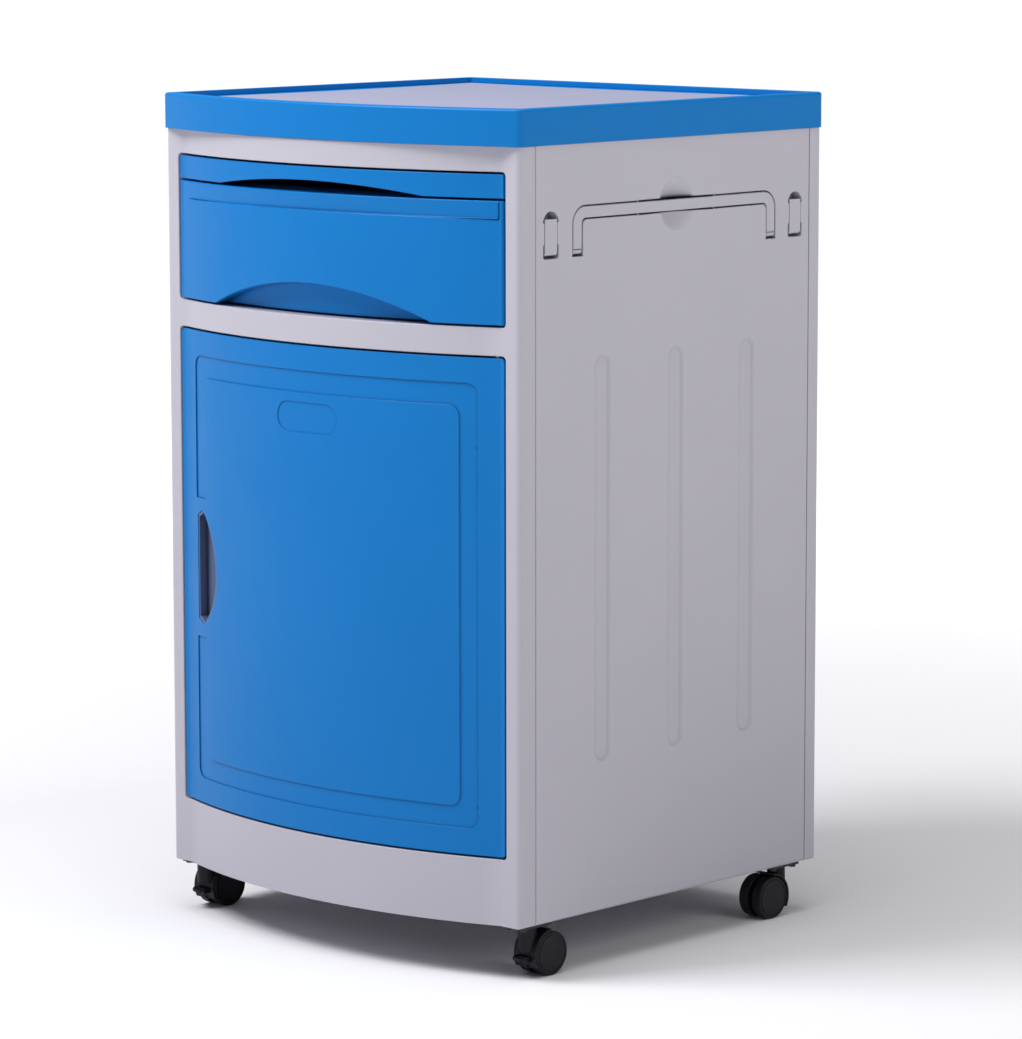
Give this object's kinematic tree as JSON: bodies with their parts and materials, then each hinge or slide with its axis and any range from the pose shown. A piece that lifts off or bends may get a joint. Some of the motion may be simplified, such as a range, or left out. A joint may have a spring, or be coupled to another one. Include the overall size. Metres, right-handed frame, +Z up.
{
  "type": "bedside cabinet",
  "caption": "Hospital bedside cabinet with a bowed front: pull-out tray, drawer, hinged door, fold-out towel rails and hooks on both sides, on swivel casters.",
  "frame": {"origin": "on the floor under the middle of the cabinet's overall width and depth", "axes": "+Z up, +X to the right as seen from the front, +Y towards the back"},
  "size_m": [0.45, 0.45, 0.77],
  "materials": {
    "grey_abs": "satin moulded ABS, pale lavender grey",
    "blue_abs": "satin-gloss moulded ABS, mid blue",
    "inlay_abs": "fine-textured ABS, pale lavender grey",
    "inner_abs": "plain moulded ABS, light grey",
    "grip_abs": "moulded ABS, slate",
    "caster_nylon": "glass-filled nylon, black",
    "wheel_nylon": "moulded nylon, black",
    "white_nylon": "acetal, off-white",
    "zinc_steel": "zinc-plated steel",
    "black_steel": "black-coated steel",
    "magnet": "sintered ferrite, dark grey"
  },
  "bodies": {
    "carcass": {"accessory_pins": "zinc_steel", "back_panel": "grey_abs", "base_panel": "grey_abs", "base_skirt": "grey_abs", "caster_king_pins": "black_steel", "caster_plates": "black_steel", "caster_screws": "black_steel", "catch_housing": "white_nylon", "catch_magnet": "magnet", "drawer_runner_left": "white_nylon", "drawer_runner_right": "white_nylon", "frame_screws": "zinc_steel", "front_frame": "grey_abs", "hinge_pins": "zinc_steel", "inner_shelf": "grey_abs", "mid_deck": "grey_abs", "runner_screws": "zinc_steel", "shelf_pins": "zinc_steel", "side_panel_left": "grey_abs", "side_panel_right": "grey_abs", "top_deck": "blue_abs", "top_inlay": "inlay_abs", "top_posts": "blue_abs", "top_rim": "blue_abs", "top_screws": "zinc_steel", "tray_runner_left": "white_nylon", "tray_runner_right": "white_nylon"},
    "door": {"door_skin": "blue_abs", "door_liner": "inner_abs", "door_grip": "grip_abs", "door_bushes": "white_nylon", "door_screws": "zinc_steel", "catch_strike": "zinc_steel"},
    "drawer": {"drawer_front": "blue_abs", "drawer_box": "inner_abs", "drawer_screws": "zinc_steel"},
    "tray": {"tray_front": "blue_abs", "tray_board": "inner_abs", "tray_screws": "zinc_steel"},
    "rail_left": {"towel_bar_left": "grey_abs"},
    "hook_front_left": {"hook_front_left": "grey_abs"},
    "hook_rear_left": {"hook_rear_left": "grey_abs"},
    "rail_right": {"towel_bar_right": "grey_abs"},
    "hook_front_right": {"hook_front_right": "grey_abs"},
    "hook_rear_right": {"hook_rear_right": "grey_abs"},
    "caster_front_left": {"caster_hood_front_left": "caster_nylon"},
    "wheels_front_left": {"caster_wheels_front_left": "wheel_nylon", "caster_axle_front_left": "zinc_steel"},
    "caster_front_right": {"caster_hood_front_right": "caster_nylon"},
    "wheels_front_right": {"caster_wheels_front_right": "wheel_nylon", "caster_axle_front_right": "zinc_steel"},
    "caster_rear_left": {"caster_hood_rear_left": "caster_nylon"},
    "wheels_rear_left": {"caster_wheels_rear_left": "wheel_nylon", "caster_axle_rear_left": "zinc_steel"},
    "caster_rear_right": {"caster_hood_rear_right": "caster_nylon"},
    "wheels_rear_right": {"caster_wheels_rear_right": "wheel_nylon", "caster_axle_rear_right": "zinc_steel"},
    "brake_front_left": {"brake_lever_front_left": "caster_nylon"},
    "brake_front_right": {"brake_lever_front_right": "caster_nylon"}
  },
  "joints": [
    {"name": "door_hinge", "type": "hinge", "parent": "carcass", "child": "door", "pos_m": [0.192, -0.18, 0.332], "axis": [0, 0, 1], "range_deg": [0, 100]},
    {"name": "drawer_slide", "type": "slide", "parent": "carcass", "child": "drawer", "axis": [0, -1, 0], "range_m": [0, 0.28]},
    {"name": "tray_slide", "type": "slide", "parent": "carcass", "child": "tray", "axis": [0, -1, 0], "range_m": [0, 0.26]},
    {"name": "rail_left_fold", "type": "hinge", "parent": "carcass", "child": "rail_left", "pos_m": [-0.2195, 0.0193, 0.6445], "axis": [0, -1, 0], "range_deg": [0, 90]},
    {"name": "hook_front_left_fold", "type": "hinge", "parent": "carcass", "child": "hook_front_left", "pos_m": [-0.22, -0.1465, 0.6446], "axis": [0, -1, 0], "range_deg": [0, 90]},
    {"name": "hook_rear_left_fold", "type": "hinge", "parent": "carcass", "child": "hook_rear_left", "pos_m": [-0.22, 0.1851, 0.6446], "axis": [0, -1, 0], "range_deg": [0, 90]},
    {"name": "rail_right_fold", "type": "hinge", "parent": "carcass", "child": "rail_right", "pos_m": [0.2195, 0.0193, 0.6445], "axis": [0, 1, 0], "range_deg": [0, 90]},
    {"name": "hook_front_right_fold", "type": "hinge", "parent": "carcass", "child": "hook_front_right", "pos_m": [0.22, -0.1465, 0.6446], "axis": [0, 1, 0], "range_deg": [0, 90]},
    {"name": "hook_rear_right_fold", "type": "hinge", "parent": "carcass", "child": "hook_rear_right", "pos_m": [0.22, 0.1851, 0.6446], "axis": [0, 1, 0], "range_deg": [0, 90]},
    {"name": "swivel_front_left", "type": "hinge", "parent": "carcass", "child": "caster_front_left", "pos_m": [-0.207, -0.16, 0.04], "axis": [0, 0, 1], "continuous": true},
    {"name": "roll_front_left", "type": "hinge", "parent": "caster_front_left", "child": "wheels_front_left", "pos_m": [-0.207, -0.141, 0.02], "axis": [1, 0, 0], "continuous": true},
    {"name": "brake_front_left_press", "type": "hinge", "parent": "caster_front_left", "child": "brake_front_left", "pos_m": [-0.207, -0.1662, 0.0175], "axis": [1, 0, 0], "range_deg": [0, 18]},
    {"name": "swivel_front_right", "type": "hinge", "parent": "carcass", "child": "caster_front_right", "pos_m": [0.207, -0.16, 0.04], "axis": [0, 0, 1], "continuous": true},
    {"name": "roll_front_right", "type": "hinge", "parent": "caster_front_right", "child": "wheels_front_right", "pos_m": [0.207, -0.141, 0.02], "axis": [1, 0, 0], "continuous": true},
    {"name": "brake_front_right_press", "type": "hinge", "parent": "caster_front_right", "child": "brake_front_right", "pos_m": [0.207, -0.1662, 0.0175], "axis": [1, 0, 0], "range_deg": [0, 18]},
    {"name": "swivel_rear_left", "type": "hinge", "parent": "carcass", "child": "caster_rear_left", "pos_m": [-0.207, 0.184, 0.04], "axis": [0, 0, 1], "continuous": true},
    {"name": "roll_rear_left", "type": "hinge", "parent": "caster_rear_left", "child": "wheels_rear_left", "pos_m": [-0.207, 0.165, 0.02], "axis": [1, 0, 0], "continuous": true},
    {"name": "swivel_rear_right", "type": "hinge", "parent": "carcass", "child": "caster_rear_right", "pos_m": [0.207, 0.184, 0.04], "axis": [0, 0, 1], "continuous": true},
    {"name": "roll_rear_right", "type": "hinge", "parent": "caster_rear_right", "child": "wheels_rear_right", "pos_m": [0.207, 0.165, 0.02], "axis": [1, 0, 0], "continuous": true}
  ]
}
